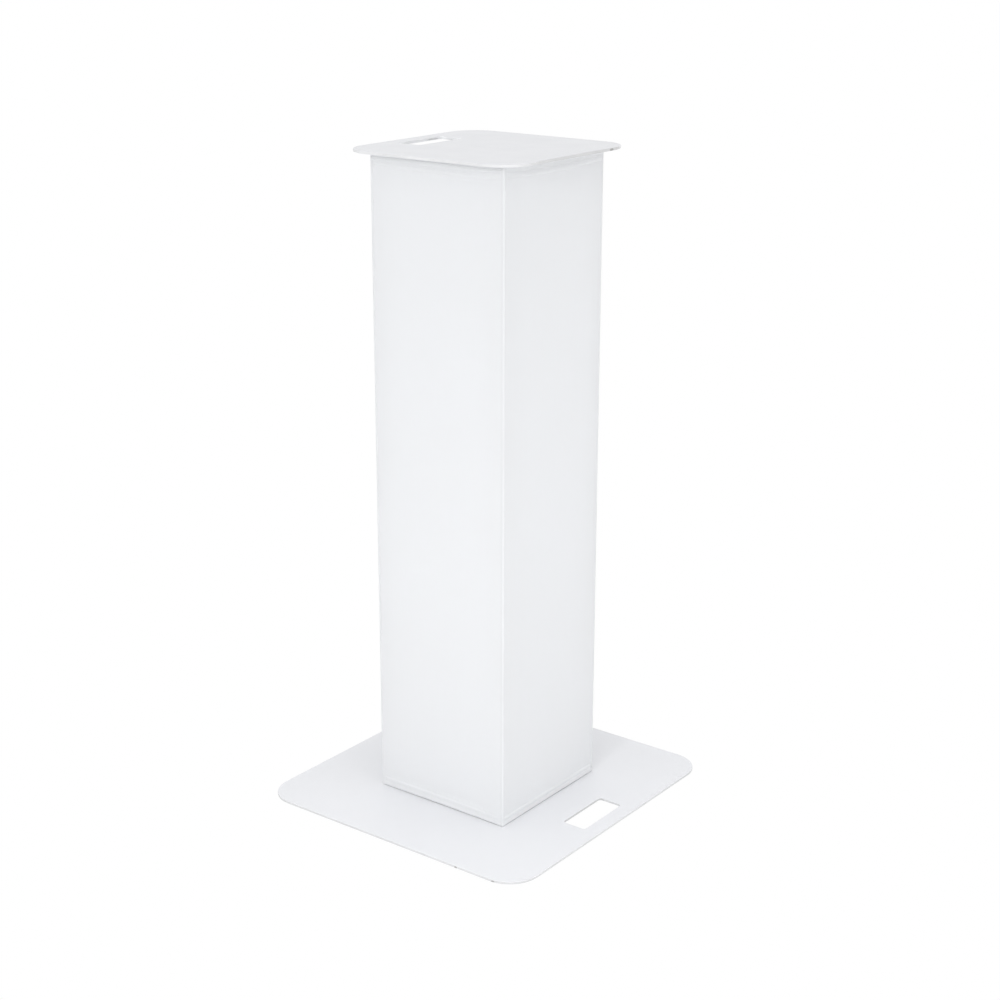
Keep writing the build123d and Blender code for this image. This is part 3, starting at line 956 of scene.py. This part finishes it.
# a darker patch on the top slot's far wall
slot_wall_dark_patch = (Vector((top_slot_start, 0.031, top_low.z + 1.6 * MM)), (1.2 * MM, 14 * MM, 1.5 * MM), 0.35)
top_marks = [
    # painted shade and dark reflection on the rim at the plate's right rear corner
    (Vector((top_high.x, 0.093, top_low.z + 1.6 * MM)), (1.5 * MM, 5.0 * MM, 2.2 * MM), 1.0),
    painted_rim_shade,
    slot_wall_dark_patch,
    # painted shadow at the front end of the top slot
    (Vector((top_slot_start + 1 * MM, -0.0485, top_low.z + 1.5 * MM)), (1.6 * MM, 1.8 * MM, 2.0 * MM), 0.7),
    (Vector((-0.04, top_high.y, top_low.z + 1.0 * MM)), small_chip, 1.0),
]
# The rims' tone is painted shade. In the slots, the base plate's wall is darkened as a painted shadow and the
# top plate's wall is lightened as painted light.
give(nodes["base_plate"], powder_coat("base_powder_coat", tone=0.755, rim_painted_shade_tone=0.60, slot=base_slot_edge,
                                      slot_painted_light_tone=0.50, marks=base_marks))
give(nodes["top_plate"], powder_coat("top_powder_coat", tone=0.744, rim_painted_shade_tone=0.68, slot=top_slot,
                                     slot_painted_light_tone=0.97, marks=top_marks))
frame_coat = powder_coat("frame_powder_coat", tone=0.76, rim_painted_shade_tone=0.76)
zinc = zinc_steel("zinc_steel")
rubber = pad_rubber("pad_rubber")
for node_name, piece in nodes.items():
    if node_name.startswith(("post_", "base_spigot_", "top_spigot_")):
        give(piece, frame_coat)
    elif node_name.startswith("floor_pad_"):
        give(piece, rubber)
        soften(piece, 0.4 * MM)
    elif node_name.startswith(("lower_", "upper_")):
        give(piece, zinc)
        soften(piece, 0.15 * MM)
    elif node_name == "zip_retaining_box":
        give(piece, coil_nylon)
        soften(piece, 0.12 * MM)
    elif node_name in ("zip_slider", "zip_pull_tab", "zip_top_stops"):
        give(piece, zip_metal)
        soften(piece, 0.12 * MM)


# Floor, light and camera

def plain_emission(name, strength):
    """A material that only glows white."""
    material, tree = new_material(name)
    show(tree, node(tree, "Emission", {"Color": (1.0, 1.0, 1.0, 1.0), "Strength": strength}))
    return material


floor_reach = 40
floor_corners = [(-floor_reach, -floor_reach, 0), (floor_reach, -floor_reach, 0),
                 (floor_reach, floor_reach, 0), (-floor_reach, floor_reach, 0)]
floor = new_piece("floor", floor_corners, [(0, 1, 2, 3)])
give(floor, plain_emission("floor_white", 1.0))

world = bpy.data.worlds.new("studio")
bpy.context.scene.world = world
world.use_nodes = True
world.node_tree.nodes["Background"].inputs["Color"].default_value = (1.0, 1.0, 1.0, 1.0)
world.node_tree.nodes["Background"].inputs["Strength"].default_value = 1.0


def soft_light(name, place, aim, size, power, spread=math.pi):
    """A square lamp at a place, turned to an aim point; its power is in watts."""
    lamp = bpy.data.lights.new(name, "AREA")
    lamp.shape = "SQUARE"
    lamp.size = size
    lamp.energy = power
    lamp.spread = spread
    light = bpy.data.objects.new(name, lamp)
    light.location = place
    light.rotation_euler = (Vector(aim) - Vector(place)).to_track_quat("-Z", "Y").to_euler()
    light.visible_camera = False
    bpy.context.scene.collection.objects.link(light)
    return light


soft_light("key_light", (0.50, -2.50, 1.70), (0, 0, 0.80), size=0.25, power=11.5)
soft_light("right_light", (1.5, -0.3, 0.65), (0, 0, 0.55), size=0.9, power=3.0)
soft_light("low_light", (0.8, -1.2, 0.35), (0, 0, 0.30), size=0.6, power=1.8)
soft_light("foot_light", (0.70, -1.55, 1.1), (0.0, -0.1, 0.02), size=0.4, power=0.22, spread=math.radians(50))

back = Vector((math.sin(camera_azimuth) * math.cos(camera_elevation),
               -math.cos(camera_azimuth) * math.cos(camera_elevation), math.sin(camera_elevation)))
right = Vector((0, 0, 1)).cross(back).normalized()
above = back.cross(right)
aim = Vector((0, 0, camera_aim_height)) + right * camera_aim_right + above * camera_aim_up
camera = bpy.data.objects.new("camera", bpy.data.cameras.new("camera"))
camera.data.lens = camera_lens
camera.data.sensor_width = 36
camera.data.clip_start = 0.1
camera.data.clip_end = 200
turn = Matrix((right, above, back)).transposed().to_4x4() @ Matrix.Rotation(camera_roll, 4, "Z")
camera.matrix_world = Matrix.Translation(aim + back * camera_distance) @ turn
bpy.context.scene.collection.objects.link(camera)
bpy.context.scene.camera = camera
bpy.context.scene.view_settings.view_transform = "Standard"
